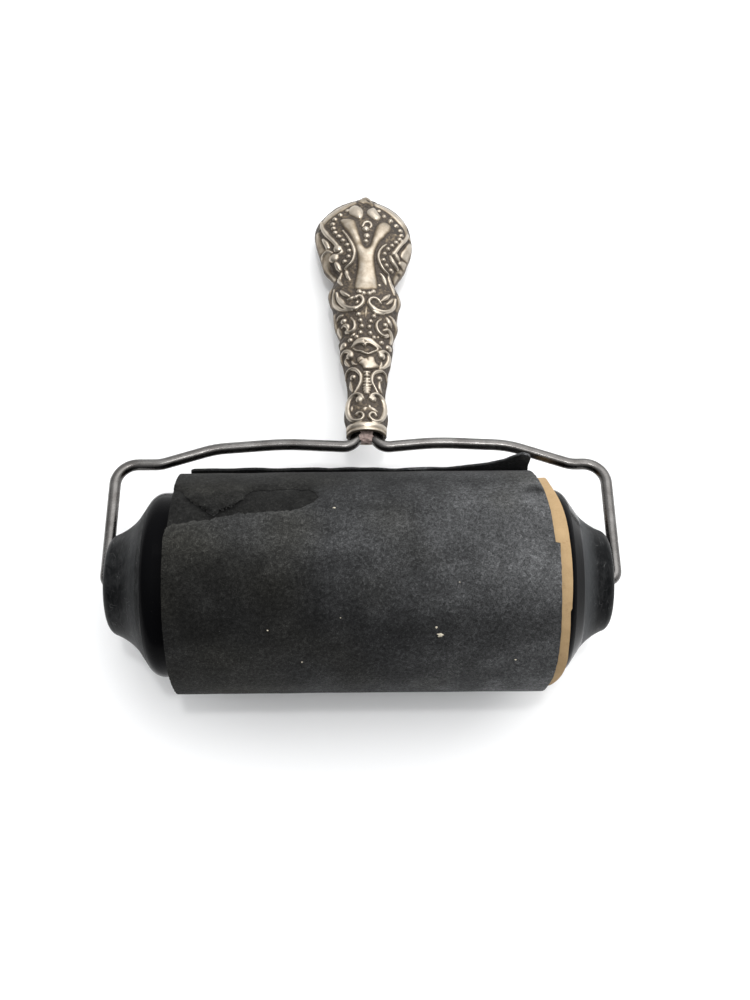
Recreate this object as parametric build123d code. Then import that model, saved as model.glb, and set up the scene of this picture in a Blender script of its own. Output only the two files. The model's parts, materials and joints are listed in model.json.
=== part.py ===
"""Rolling desk blotter: a wooden roller with a paper coil, a bent wire yoke and a hollow stamped handle.

The origin is on the desk, under the middle of the yoke. +X runs along the roller, +Y points to the handle,
and +Z is up. The blotter lies as it is put down: the paper and the handle's bulb both touch the desk.
"""

from build123d import *
import os
from math import asin, atan2, cos, degrees, hypot, radians, sin

# Paper, from the inside out (radii)
DRUM_R = 24.2
SLIP = 0.05
TUBE_OUTER_R = 25.0
TAN_OUTER_R = 27.3
PLY = 0.65
INNER_PLY_OUTER_R = TAN_OUTER_R + PLY
ROLL_R = INNER_PLY_OUTER_R + PLY

# Paper, along the roller
SHEET_WIDTH = 96.0
GREY_MIDDLE_X = 0.5
TAN_MIDDLE_X = 3.35
INNER_PLY_WIDTH = 94.4
INNER_PLY_MIDDLE_X = 0.25
TUBE_LENGTH = 92.0

# Lost strip along the outer ply's right edge (angles from +Y towards +Z)
STRIP_WIDTH = 1.1
STRIP_FROM = -11.0
STRIP_TO = 81.8

# Tear in the outer ply: outline on a plane that faces this angle, as (along X, around towards the handle)
TEAR_ANGLE = 58.8
TEAR_OUTLINE = [
    (-49.5, -7.9),
    (-36.5, -5.8),
    (-29.8, -4.0),
    (-14.8, -2.7),
    (-10.7, 1.3),
    (-12.6, 5.3),
    (-27.7, 5.9),
    (-28.5, 1.0),
    (-35.9, -4.6),
    (-42.9, 1.3),
    (-43.3, 4.4),
    (-49.5, 7.4),
]

# Loose flap of the outer ply: it leaves the roll on a tangent, and these are (X, free length)
FLAP_LEAVES = -11.0
FLAP_THICKNESS = 0.5
FLAP_LENGTHS = [(-44.6, 9.6), (20.0, 9.9), (34.0, 12.0), (41.0, 16.0), (44.2, 18.4)]

# Wooden drum and its two bell-shaped caps (half lengths from the roller's middle)
END_PLAY = -0.45
DRUM_HALF = 56.8
CREASE_R = 18.0
SHOULDER_STARTS = 50.4
SHOULDER_MID = (52.25, 23.75)
SHOULDER_END = (53.6, 22.65)
CAP_HALF = 65.1
CAP_FACE_R = 9.8
RIM_MID = (64.7, 12.1)
RIM_END = (62.95, 13.4)
FLARE_MID = (58.9, 15.9)
SPIGOT_R = 8.0
SPIGOT_LENGTH = 11.5
SOCKET_SPARE = 0.5

# Wire yoke (in the yoke's own plane: X, and distance from the roller's axis)
WIRE_R = 3.175 / 2
BORE_R = WIRE_R + 0.05
BORE_ENDS = 52.0
COUNTERSINK_R = 2.6
COUNTERSINK_DEPTH = 1.0
PIN_TIP = 53.8
ARM_X = 67.45
LEG_OFFSET = 2.3
HAIRPIN_TOP = 70.0
# Hand bent, so the two sides differ: (outer shoulder, foot of the rise, its top, crown, kink under the handle)
LEFT_BENDS = [(-ARM_X, 35.5), (-55.4, 35.4), (-40.4, 40.1), (-21.0, 41.5), (None, 40.3)]
RIGHT_BENDS = [(ARM_X, 34.5), (58.1, 34.4), (41.0, 40.5), (21.0, 41.6), (None, 40.0)]
PIN_BEND = 2.6
BEND_RADII = [6.0, 9.0, 26.0, 70.0, 4.0]
HAIRPIN_BEND = 2.25

# Hollow handle: its middle, and (distance from the roller's axis, half width, half depth)
HANDLE_X = 1.65
WALL = 0.6
HANDLE_SECTIONS = [
    (43.4, 5.4, 4.6),
    (47.6, 6.0, 4.9),
    (52.0, 5.7, 4.6),
    (57.3, 5.3, 4.4),
    (63.2, 6.0, 4.8),
    (69.2, 7.3, 5.4),
    (75.3, 7.8, 5.8),
    (81.5, 9.1, 6.3),
    (88.5, 10.3, 6.6),
    (94.2, 8.5, 5.9),
    (98.5, 10.8, 6.5),
    (103.9, 13.2, 7.0),
    (110.5, 14.5, 7.1),
    (117.3, 12.8, 6.2),
    (122.5, 8.2, 4.3),
    (125.3, 3.6, 2.3),
    (127.4, 1.5, 1.2),
]
CORE_STARTS = 44.6
PLUG_WIDTH = 4.2
PLUG_DEPTH = 2.6
PLUG_FROM = 42.0
PLUG_TO = 46.0
FAR = 60.0


def touching_tilt(distance, half_depth):
    """Angle at which a handle section's underside comes down to the desk."""
    reach = hypot(distance, half_depth)
    return degrees(asin(ROLL_R / reach)) - degrees(atan2(half_depth, distance))


# The handle comes down until the first of its sections touches the desk.
TILT = min(touching_tilt(distance, depth) for distance, _, depth in HANDLE_SECTIONS)
ON_AXIS = Pos(0, 0, ROLL_R)
YOKE_PLACE = Pos(0, 0, ROLL_R) * Rot(-TILT, 0, 0)


def across(x):
    """Plane across the roller at x: its own x is +Y and its own y is +Z."""
    return Plane.YZ.offset(x)


def ring(inner_r, outer_r, start_x, end_x):
    """Straight tube about the roller's axis."""
    section = across(start_x) * (Circle(outer_r) - Circle(inner_r))
    return extrude(section, end_x - start_x)


def wedge(from_angle, to_angle, start_x, end_x):
    """Slice of space about the roller's axis between two angles."""
    middle = (from_angle + to_angle) / 2
    corners = [(0.0, 0.0)]
    for angle in (from_angle, middle, to_angle):
        corners.append((FAR * cos(radians(angle)), FAR * sin(radians(angle))))
    section = across(start_x) * make_face(Polyline(*corners, close=True))
    return extrude(section, end_x - start_x)


def sheet_span(middle_x, width=SHEET_WIDTH):
    """Both ends of a sheet that is centred at middle_x."""
    return middle_x - width / 2, middle_x + width / 2


def flap_section(x, length):
    """Section of the loose flap: a thin strip along the tangent, rooted in the ply."""
    root = Vector(cos(radians(FLAP_LEAVES)), sin(radians(FLAP_LEAVES)))
    along = Vector(-root.Y, root.X)
    outer = root * (ROLL_R - 0.02)
    inner = root * (ROLL_R - FLAP_THICKNESS)
    # The strip's foot reaches back along the ply, so the two are one sheet.
    corners = [inner - along * 0.5, inner + along * length, outer + along * length, outer - along * 0.5]
    points = [(corner.X, corner.Y) for corner in corners]
    return across(x) * make_face(Polyline(*points, close=True))


def grey_outer_wrap():
    start_x, end_x = sheet_span(GREY_MIDDLE_X)
    ply = ring(INNER_PLY_OUTER_R, ROLL_R, start_x, end_x)
    ply -= wedge(STRIP_FROM, STRIP_TO, end_x - STRIP_WIDTH, end_x + 1.0)
    facing = (0, cos(radians(TEAR_ANGLE)), sin(radians(TEAR_ANGLE)))
    tear_plane = Plane(origin=(0, 0, 0), x_dir=(1, 0, 0), z_dir=facing).offset(ROLL_R / 2)
    ply -= extrude(tear_plane * make_face(Polyline(*TEAR_OUTLINE, close=True)), ROLL_R)
    flap = loft([flap_section(x, length) for x, length in FLAP_LENGTHS], ruled=True)
    # Only what stands clear of the inner ply belongs to the flap.
    flap -= ring(0.001, INNER_PLY_OUTER_R, start_x - 1, end_x + 1)
    return ply + flap


def grey_inner_wrap():
    start_x, end_x = sheet_span(INNER_PLY_MIDDLE_X, INNER_PLY_WIDTH)
    return ring(TAN_OUTER_R, INNER_PLY_OUTER_R, start_x, end_x)


def tan_blotter_roll():
    return ring(TUBE_OUTER_R, TAN_OUTER_R, *sheet_span(TAN_MIDDLE_X))


def card_tube():
    return ring(DRUM_R + SLIP, TUBE_OUTER_R, -TUBE_LENGTH / 2, TUBE_LENGTH / 2)


def drum_core():
    """Turned drum with rounded shoulders, a cone down to each bell and a socket in each end."""
    profile = Polyline((0, 0), (DRUM_HALF, 0), (DRUM_HALF, CREASE_R), SHOULDER_END)
    profile += ThreePointArc(SHOULDER_END, SHOULDER_MID, (SHOULDER_STARTS, DRUM_R))
    profile += Polyline((SHOULDER_STARTS, DRUM_R), (0, DRUM_R), (0, 0))
    half = revolve(make_face(profile), axis=Axis.X)
    drum = half + mirror(half, about=Plane.YZ)
    socket_depth = SPIGOT_LENGTH + SOCKET_SPARE
    for start_x in (-DRUM_HALF, DRUM_HALF - socket_depth):
        drum -= extrude(across(start_x) * Circle(SPIGOT_R + SLIP), socket_depth)
    return Pos(END_PLAY, 0, 0) * drum


def end_cap(side):
    """Bell-shaped cap with a spigot for the drum and a bore for the wire's pin."""
    spigot_end = DRUM_HALF - SPIGOT_LENGTH
    crease = DRUM_HALF, CREASE_R
    profile = Polyline((BORE_ENDS, 0), (spigot_end, 0), (spigot_end, SPIGOT_R), (DRUM_HALF, SPIGOT_R), crease)
    profile += ThreePointArc(crease, FLARE_MID, RIM_END)
    profile += ThreePointArc(RIM_END, RIM_MID, (CAP_HALF, CAP_FACE_R))
    profile += Polyline(
        (CAP_HALF, CAP_FACE_R),
        (CAP_HALF, COUNTERSINK_R),
        (CAP_HALF - COUNTERSINK_DEPTH, BORE_R),
        (BORE_ENDS, BORE_R),
        (BORE_ENDS, 0),
    )
    cap = revolve(make_face(profile), axis=Axis.X)
    if side < 0:
        cap = mirror(cap, about=Plane.YZ)
    return Pos(END_PLAY, 0, 0) * cap


def wire_side(side, bends):
    """Corners of one half of the wire, from its pin to the hairpin, each with its bend radius."""
    leg_x = HANDLE_X + side * LEG_OFFSET
    corners = [((side * ARM_X, 0.0), PIN_BEND)]
    for (x, distance), radius in zip(bends, BEND_RADII):
        corners.append(((leg_x if x is None else x, distance), radius))
    corners.append(((leg_x, HAIRPIN_TOP), HAIRPIN_BEND))
    return corners


def wire_path():
    """Middle line of the yoke wire, from the left pin's tip to the right pin's tip."""
    corners = wire_side(-1, LEFT_BENDS) + wire_side(1, RIGHT_BENDS)[::-1]
    points = [(-PIN_TIP, 0.0)] + [point for point, _ in corners] + [(PIN_TIP, 0.0)]
    return FilletPolyline(*points, radius=[radius for _, radius in corners])


def yoke_wire():
    path = wire_path()
    section = Plane(origin=path @ 0, z_dir=path % 0) * Circle(WIRE_R)
    return sweep(section, path=path)


def handle_form(inset):
    """Handle body, smaller all round by inset."""
    sections = []
    for distance, half_width, half_depth in HANDLE_SECTIONS:
        place = Plane(origin=(HANDLE_X, distance, 0), x_dir=(1, 0, 0), z_dir=(0, 1, 0))
        sections.append(place * Ellipse(half_width - inset, half_depth - inset))
    return loft(sections)


def mouth_plug(wire):
    middle = Pos(HANDLE_X, (PLUG_FROM + PLUG_TO) / 2, 0)
    return middle * Box(PLUG_WIDTH, PLUG_TO - PLUG_FROM, PLUG_DEPTH) - wire


def build():
    wire = yoke_wire()
    plug = mouth_plug(wire)
    outside = handle_form(0.0)
    inside = handle_form(WALL)
    shell = outside - inside
    core_room = Pos(0, CORE_STARTS + FAR * 2, 0) * Box(FAR, FAR * 4, FAR)
    core = (inside & core_room) - wire - plug
    yoke = {
        "yoke_wire": wire,
        "mouth_plug": plug,
        "handle_pitch_core": core,
        "handle_front_shell": split(shell, bisect_by=Plane.XY, keep=Keep.TOP),
        "handle_back_shell": split(shell, bisect_by=Plane.XY, keep=Keep.BOTTOM),
    }
    roller = {
        "drum_core": drum_core(),
        "left_end_cap": end_cap(-1),
        "right_end_cap": end_cap(1),
        "card_tube": card_tube(),
        "tan_blotter_roll": tan_blotter_roll(),
        "grey_inner_wrap": grey_inner_wrap(),
        "grey_outer_wrap": grey_outer_wrap(),
    }
    nodes = {name: YOKE_PLACE * shape for name, shape in yoke.items()}
    nodes.update({name: ON_AXIS * shape for name, shape in roller.items()})
    return nodes


os.makedirs("parts", exist_ok=True)
for node, solid in build().items():
    export_step(solid, f"parts/{node}.step")
print(f"handle tilt {TILT:.2f} degrees")
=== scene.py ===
"""Looks of the rolling desk blotter: stamped silver handle, steel wire yoke, ebonised wood and worn paper.

Lengths in the shape code are millimetres. Yoke coordinates are (across, away from the roller's axis, out of
the yoke's plane); roller coordinates are (along the roller, angle from +Y towards +Z).
"""

import json
from math import atan2, cos, pi, radians, sin, tau

import bmesh
import bpy
import numpy as np
from mathutils import Matrix, Vector
from mathutils.geometry import delaunay_2d_cdt


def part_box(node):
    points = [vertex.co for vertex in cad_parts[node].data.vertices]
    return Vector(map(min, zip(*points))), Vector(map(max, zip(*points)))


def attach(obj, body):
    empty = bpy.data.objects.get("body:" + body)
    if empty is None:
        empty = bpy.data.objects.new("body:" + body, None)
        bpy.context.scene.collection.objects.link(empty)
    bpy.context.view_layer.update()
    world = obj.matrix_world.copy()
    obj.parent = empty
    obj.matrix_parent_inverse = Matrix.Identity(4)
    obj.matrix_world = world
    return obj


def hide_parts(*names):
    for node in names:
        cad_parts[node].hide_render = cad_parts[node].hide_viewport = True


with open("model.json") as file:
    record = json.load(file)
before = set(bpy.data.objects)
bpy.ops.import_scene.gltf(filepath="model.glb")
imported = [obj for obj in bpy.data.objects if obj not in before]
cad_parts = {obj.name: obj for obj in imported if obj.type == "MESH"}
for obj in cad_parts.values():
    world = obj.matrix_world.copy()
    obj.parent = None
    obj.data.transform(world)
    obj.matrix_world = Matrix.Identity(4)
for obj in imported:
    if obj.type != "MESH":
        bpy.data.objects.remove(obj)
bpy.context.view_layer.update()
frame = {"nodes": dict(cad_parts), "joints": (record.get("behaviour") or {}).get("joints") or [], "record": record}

MM = 0.001
rng = np.random.default_rng(7)

# ---------------------------------------------------------------- places, read from the frame

AXIS_HEIGHT = frame["joints"][0]["pos_m"][2] / MM
GRIP = next(mount for mount in frame["record"]["mounts"] if mount["name"] == "handle_grip")
HANDLE_X = (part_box("handle_front_shell")[0].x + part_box("handle_front_shell")[1].x) / 2 / MM
TILT = atan2(AXIS_HEIGHT - GRIP["pos_m"][2] / MM, GRIP["pos_m"][1] / MM)


def yoke_to_row(points):
    """Yoke coordinates in mm to the row frame in metres."""
    points = np.asarray(points, float)
    across, away, out = points[..., 0], points[..., 1], points[..., 2]
    y = away * cos(TILT) + out * sin(TILT)
    z = AXIS_HEIGHT - away * sin(TILT) + out * cos(TILT)
    return np.stack([across, y, z], axis=-1) * MM


def row_to_yoke(points):
    """Row frame in metres to yoke coordinates in mm."""
    points = np.asarray(points, float) / MM
    y, z = points[..., 1], points[..., 2] - AXIS_HEIGHT
    away = y * cos(TILT) - z * sin(TILT)
    out = y * sin(TILT) + z * cos(TILT)
    return np.stack([points[..., 0], away, out], axis=-1)


def roller_to_row(x, angle, radius):
    """Roller coordinates (mm, radians, mm) to the row frame in metres."""
    x, angle, radius = np.broadcast_arrays(x, angle, radius)
    return np.stack([x, radius * np.cos(angle), AXIS_HEIGHT + radius * np.sin(angle)], axis=-1) * MM


# ---------------------------------------------------------------- curves and meshes


def smooth_curve(points, step, closed=False):
    """Catmull-Rom curve through points, with samples about step apart."""
    points = np.asarray(points, float)
    count = len(points)
    if closed:
        padded = np.vstack([points[-1], points, points[:2]])
    else:
        padded = np.vstack([2 * points[0] - points[1], points, 2 * points[-1] - points[-2]])
    samples = []
    for index in range(count if closed else count - 1):
        before, start, end, after = padded[index : index + 4]
        pieces = max(2, int(np.ceil(np.linalg.norm(end - start) / step)))
        t = (np.arange(pieces) / pieces)[:, None]
        samples.append(
            0.5
            * (
                2 * start
                + (end - before) * t
                + (2 * before - 5 * start + 4 * end - after) * t**2
                + (3 * start - before - 3 * end + after) * t**3
            )
        )
    if not closed:
        samples.append(points[-1:])
    return np.vstack(samples)


def make_mesh(name, vertices, faces, attributes=None, sharp_angle=60.0):
    """Object from vertices in metres, smooth shaded, and sharp where it turns by more than sharp_angle."""
    mesh = bpy.data.meshes.new(name)
    mesh.from_pydata(np.asarray(vertices).tolist(), [], [list(map(int, face)) for face in faces])
    for key, values in (attributes or {}).items():
        layer = mesh.attributes.new(key, "FLOAT", "POINT")
        layer.data.foreach_set("value", np.asarray(values, np.float32).ravel())
    edit = bmesh.new()
    edit.from_mesh(mesh)
    bmesh.ops.recalc_face_normals(edit, faces=edit.faces)
    edit.to_mesh(mesh)
    edit.free()
    mesh.polygons.foreach_set("use_smooth", [True] * len(mesh.polygons))
    mesh.set_sharp_from_angle(angle=radians(sharp_angle))
    piece = bpy.data.objects.new(name, mesh)
    bpy.context.scene.collection.objects.link(piece)
    return piece


def dress(piece, look, body, slot, *nodes):
    """Gives a piece its material and its body and hides the CAD nodes that it stands for; slot is not used."""
    piece.data.materials.clear()
    piece.data.materials.append(look)
    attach(piece, body)
    if nodes:
        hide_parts(*nodes)


def dress_node(node, look):
    """Gives a CAD node a better material."""
    for slot in frame["nodes"][node].material_slots:
        slot.material = look


def grid_faces(rows, columns, first=0, wrap=False):
    """Quads of a grid of vertices that starts at index first; wrap joins its last column to its first."""
    last = columns if wrap else columns - 1
    row, column = np.meshgrid(np.arange(rows - 1), np.arange(last), indexing="ij")
    a = first + row * columns + column
    b = first + row * columns + (column + 1) % columns
    return np.stack([a, b, b + columns, a + columns], axis=-1).reshape(-1, 4).tolist()


def bridge(line_a, line_b):
    """Triangles between two lines of vertex indices with different counts."""
    faces = []
    i = j = 0
    while i < len(line_a) - 1 or j < len(line_b) - 1:
        next_a = (i + 1) / (len(line_a) - 1) if i < len(line_a) - 1 else 2.0
        next_b = (j + 1) / (len(line_b) - 1) if j < len(line_b) - 1 else 2.0
        if next_a <= next_b:
            faces.append([line_a[i], line_a[i + 1], line_b[j]])
            i += 1
        else:
            faces.append([line_a[i], line_b[j + 1], line_b[j]])
            j += 1
    return faces


def fade(value, start, end):
    t = np.clip((value - start) / (end - start), 0, 1)
    return t * t * (3 - 2 * t)


def gaussian_blur(field, sigma):
    """Blurs a 2-D field; sigma is in cells."""
    reach = int(3 * sigma) + 1
    weights = np.exp(-0.5 * (np.arange(-reach, reach + 1) / sigma) ** 2)
    weights /= weights.sum()
    for axis in (0, 1):
        padded = np.pad(field, [(reach, reach) if a == axis else (0, 0) for a in (0, 1)], mode="edge")
        size = field.shape[axis]
        field = sum(
            weight * np.take(padded, np.arange(k, k + size), axis=axis) for k, weight in enumerate(weights)
        )
    return field


# ---------------------------------------------------------------- materials

PAPER_GREY = 0.041
WORN_SHOULDER = -53.9


class Look:
    """A material, with short calls for its nodes."""

    def __init__(self, name):
        self.material = bpy.data.materials.new(name)
        self.material.use_nodes = True
        self.tree = self.material.node_tree
        self.shader = self.tree.nodes["Principled BSDF"]
        self.place = self.add("ShaderNodeTexCoord").outputs["Object"]

    def add(self, kind, **settings):
        node = self.tree.nodes.new(kind)
        for key, value in settings.items():
            setattr(node, key, value)
        return node

    def feed(self, socket, value):
        if isinstance(value, bpy.types.NodeSocket):
            self.tree.links.new(value, socket)
        elif isinstance(value, tuple) and len(value) == 3 and socket.type == "RGBA":
            socket.default_value = (*value, 1.0)
        else:
            socket.default_value = value

    def set(self, **values):
        """Feeds the shader's sockets: Base_Color=..., Roughness=... and so on."""
        for key, value in values.items():
            self.feed(self.shader.inputs[key.replace("_", " ")], value)

    def stretched(self, stretch):
        node = self.add("ShaderNodeMapping")
        self.feed(node.inputs["Vector"], self.place)
        node.inputs["Scale"].default_value = stretch
        return node.outputs["Vector"]

    def noise(self, size, detail=3.0, roughness=0.5, stretch=None, distortion=0.0):
        """Noise whose features are about size mm across."""
        node = self.add("ShaderNodeTexNoise")
        self.feed(node.inputs["Vector"], self.stretched(stretch) if stretch else self.place)
        node.inputs["Scale"].default_value = 1.0 / (size * MM)
        node.inputs["Detail"].default_value = detail
        node.inputs["Roughness"].default_value = roughness
        node.inputs["Distortion"].default_value = distortion
        return node.outputs["Fac"]

    def spots(self, size, stretch=None):
        """Distance to scattered points about size mm apart."""
        node = self.add("ShaderNodeTexVoronoi")
        self.feed(node.inputs["Vector"], self.stretched(stretch) if stretch else self.place)
        node.inputs["Scale"].default_value = 1.0 / (size * MM)
        return node.outputs["Distance"]

    def attribute(self, name):
        return self.add("ShaderNodeAttribute", attribute_name=name).outputs["Fac"]

    def rescale(self, value, from_low, from_high, to_low=0.0, to_high=1.0):
        node = self.add("ShaderNodeMapRange")
        self.feed(node.inputs["Value"], value)
        limits = {"From Min": from_low, "From Max": from_high, "To Min": to_low, "To Max": to_high}
        for key, limit in limits.items():
            node.inputs[key].default_value = limit
        return node.outputs["Result"]

    def calculate(self, operation, a, b=0.5):
        node = self.add("ShaderNodeMath", operation=operation)
        self.feed(node.inputs[0], a)
        self.feed(node.inputs[1], b)
        return node.outputs[0]

    def mix(self, factor, a, b, blend="MIX"):
        node = self.add("ShaderNodeMix", data_type="RGBA", blend_type=blend)
        self.feed(node.inputs["Factor"], factor)
        self.feed(node.inputs[6], a)
        self.feed(node.inputs[7], b)
        return node.outputs[2]

    def bump(self, height, distance, strength=1.0):
        """Bump from a 0-to-1 height; distance is its depth in mm."""
        node = self.add("ShaderNodeBump")
        self.feed(node.inputs["Height"], height)
        node.inputs["Distance"].default_value = distance * MM
        node.inputs["Strength"].default_value = strength
        self.feed(self.shader.inputs["Normal"], node.outputs["Normal"])


def silver_look():
    """Worn silver plate; the recess attribute is 0 on the crests and 1 where tarnish gathers, and on the sides it
    also holds painted shade.
    """
    look = Look("stamped_silver")
    cloud = look.noise(3.0, 4.0, 0.6)
    grime_and_painted_shade = look.calculate("ADD", look.attribute("recess"), look.rescale(cloud, 0.3, 0.7, -0.12, 0.12))
    worn = look.mix(look.rescale(cloud, 0.35, 0.7), (0.42, 0.373, 0.31), (0.33, 0.287, 0.235))
    tarnish = look.mix(look.rescale(look.noise(0.6), 0.3, 0.7), (0.075, 0.058, 0.043), (0.03, 0.023, 0.018))
    golden = look.mix(look.rescale(grime_and_painted_shade, 0.28, 0.6), worn, (0.2, 0.16, 0.112))
    look.set(
        Base_Color=look.mix(look.rescale(grime_and_painted_shade, 0.52, 0.9), golden, tarnish),
        Metallic=look.rescale(grime_and_painted_shade, 0.6, 1.0, 1.0, 0.35),
        Roughness=look.rescale(grime_and_painted_shade, 0.25, 0.9, 0.3, 0.6),
    )
    scratches = look.noise(0.25, 3.0, 0.6, stretch=(1.0, 0.25, 1.0))
    look.bump(look.calculate("ADD", scratches, look.noise(0.8, 2.0)), 0.02)
    return look.material


def steel_look():
    look = Look("steel_wire")
    cloud = look.noise(6.0, 4.0, 0.6)
    fine = look.noise(0.3, 3.0, 0.6)
    drawn = look.noise(0.5, 3.0, 0.6, stretch=(0.08, 0.5, 0.5))
    oxide = look.rescale(look.calculate("ADD", cloud, look.calculate("MULTIPLY", fine, 0.35)), 0.5, 0.85)
    colour = look.mix(oxide, (0.085, 0.08, 0.076), (0.15, 0.145, 0.14))
    nicks = look.rescale(look.noise(0.9, 3.0, 0.7), 0.66, 0.72)
    look.set(
        Base_Color=look.mix(nicks, colour, (0.03, 0.027, 0.027)),
        Metallic=1.0,
        Roughness=look.rescale(drawn, 0.3, 0.7, 0.2, 0.32),
    )
    look.bump(look.calculate("ADD", fine, drawn), 0.012)
    return look.material


def blotting_look():
    """Grey felt-like paper; the tone attribute lightens or darkens it in stops, for stains and painted light and
    shade, warmth turns it brownish.
    """
    look = Look("grey_blotting_paper")
    fibre = look.noise(0.24, 3.0, 0.75)
    felt = look.noise(0.8, 3.0, 0.65, distortion=0.6)
    cloud = look.noise(7.0, 4.0, 0.6)
    streak = look.noise(5.0, 3.0, 0.6, stretch=(1.0, 0.12, 0.12))
    fine = look.calculate(
        "ADD", look.rescale(fibre, 0.3, 0.7, -1.1, 1.1), look.rescale(felt, 0.3, 0.7, -0.85, 0.85)
    )
    broad = look.calculate(
        "ADD", look.rescale(cloud, 0.3, 0.7, -0.2, 0.2), look.rescale(streak, 0.3, 0.7, -0.14, 0.14)
    )
    tone = look.calculate("ADD", look.calculate("ADD", fine, broad), look.attribute("tone"))
    strength = look.calculate("MULTIPLY", look.calculate("POWER", 2.0, tone), PAPER_GREY)
    hue = look.mix(look.attribute("warmth"), (0.985, 1.0, 1.02), (1.02, 1.0, 0.88))
    body = look.mix(look.calculate("MINIMUM", strength, 1.0), (0.0, 0.0, 0.0), hue)
    hairs = look.rescale(look.spots(2.2), 0.0, 0.06, 0.55, 0.0)
    look.set(
        Base_Color=look.mix(hairs, body, (0.14, 0.135, 0.12)),
        Roughness=0.95,
        Specular_IOR_Level=0.06,
        Sheen_Weight=0.03,
        Sheen_Roughness=0.5,
    )
    look.bump(look.calculate("ADD", fibre, felt), 0.14)
    return look.material


def tan_look():
    look = Look("tan_paper")
    fibre = look.noise(0.3, 3.0, 0.6)
    cloud = look.noise(5.0, 5.0, 0.65)
    body = look.mix(look.rescale(cloud, 0.3, 0.7), (0.40, 0.275, 0.145), (0.315, 0.21, 0.105))
    foxed = look.mix(
        look.rescale(look.noise(1.6, 4.0, 0.7), 0.56, 0.74, 0.0, 0.55), body, (0.20, 0.115, 0.055)
    )
    look.set(
        Base_Color=look.mix(look.rescale(fibre, 0.35, 0.7, 0.0, 0.3), foxed, (0.45, 0.33, 0.19)),
        Roughness=0.85,
        Specular_IOR_Level=0.25,
    )
    look.bump(look.calculate("ADD", fibre, cloud), 0.05)
    return look.material


def lacquer(look, worn_from, index):
    """Worn satin black over everything beyond worn_from mm to the left, deep gloss elsewhere, and a painted sheen
    on the flares.
    """
    side = look.add("ShaderNodeSeparateXYZ")
    look.feed(side.inputs[0], look.place)
    from_middle = look.calculate("ABSOLUTE", side.outputs["X"], 0.0)
    # Painted sheen: a light band on each cap's flare beside the crease, brighter on the right cap
    flare = look.rescale(from_middle, 55.6 * MM, 55.8 * MM)
    painted_sheen = look.calculate("MULTIPLY", flare, look.rescale(from_middle, 57.2 * MM, 60.2 * MM, 1.0, 0.0))
    painted_sheen = look.calculate("MULTIPLY", painted_sheen, look.rescale(side.outputs["X"], -10 * MM, 10 * MM, 0.3, 0.75))
    contour = look.calculate(
        "ABSOLUTE", look.calculate("SUBTRACT", look.noise(4.0, 2.0, 0.5, distortion=0.6), 0.5)
    )
    hairline = look.rescale(contour, 0.0, 0.006, 0.8, 0.0)
    scratched = look.rescale(look.noise(3.0, 2.0, 0.5), 0.5, 0.62)
    satin = look.rescale(side.outputs["X"], worn_from * MM, (worn_from - 0.15) * MM)
    grain = look.noise(1.3, 4.0, 0.65, stretch=(0.9, 0.35, 0.35), distortion=1.4)
    cloud = look.noise(6.0, 4.0, 0.6, distortion=0.8)
    wear = look.rescale(look.calculate("MULTIPLY", grain, cloud), 0.2, 0.4)
    strokes = look.noise(0.8, 4.0, 0.7, stretch=(1.0, 0.3, 0.3), distortion=2.5)
    scuffs = look.rescale(strokes, 0.6, 0.72)
    ripple = look.noise(2.0, 4.0, 0.6, stretch=(1.0, 0.4, 0.4))
    chips = look.rescale(look.noise(0.5, 4.0, 0.75), 0.68, 0.74)
    worn = look.mix(wear, (0.0035, 0.0038, 0.0042), (0.017, 0.0175, 0.018))
    worn = look.mix(look.calculate("MULTIPLY", scuffs, 0.6), worn, (0.05, 0.05, 0.05))
    worn = look.mix(look.calculate("MULTIPLY", hairline, scratched), worn, (0.1, 0.1, 0.1))
    deep = look.mix(chips, (0.0022, 0.0022, 0.0026), (0.05, 0.047, 0.043))
    look.set(
        Base_Color=look.mix(painted_sheen, look.mix(satin, deep, worn), (0.046, 0.048, 0.05)),
        Roughness=look.rescale(satin, 0.0, 1.0, 0.18, 0.4),
        IOR=index,
    )
    relief = look.calculate(
        "ADD", look.calculate("MULTIPLY", grain, satin), look.calculate("MULTIPLY", ripple, 0.4)
    )
    look.bump(look.calculate("SUBTRACT", relief, chips), 0.08)
    return look.material


def satin_look():
    return lacquer(Look("satin_ebonised_wood"), 200.0, 1.12)


def gloss_look():
    return lacquer(Look("gloss_ebonised_wood"), WORN_SHOULDER, 1.08)


def plain_look(name, dark, light, size, roughness, depth):
    """Mottled matt material between two colours."""
    look = Look(name)
    cloud = look.noise(size, 5.0, 0.65)
    look.set(
        Base_Color=look.mix(look.rescale(cloud, 0.3, 0.7), dark, light),
        Roughness=roughness,
        Specular_IOR_Level=0.3,
    )
    look.bump(look.calculate("ADD", cloud, look.noise(size / 5)), depth)
    return look.material


# ---------------------------------------------------------------- stamped relief of the handle

RELIEF_CELL = 0.08
RELIEF_ACROSS = (-17.0, 17.0)
RELIEF_AWAY = (41.0, 130.0)
GROUND = -0.4
RIDGE_WIDENING = 1.22
BEAD_WIDENING = 1.15


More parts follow.
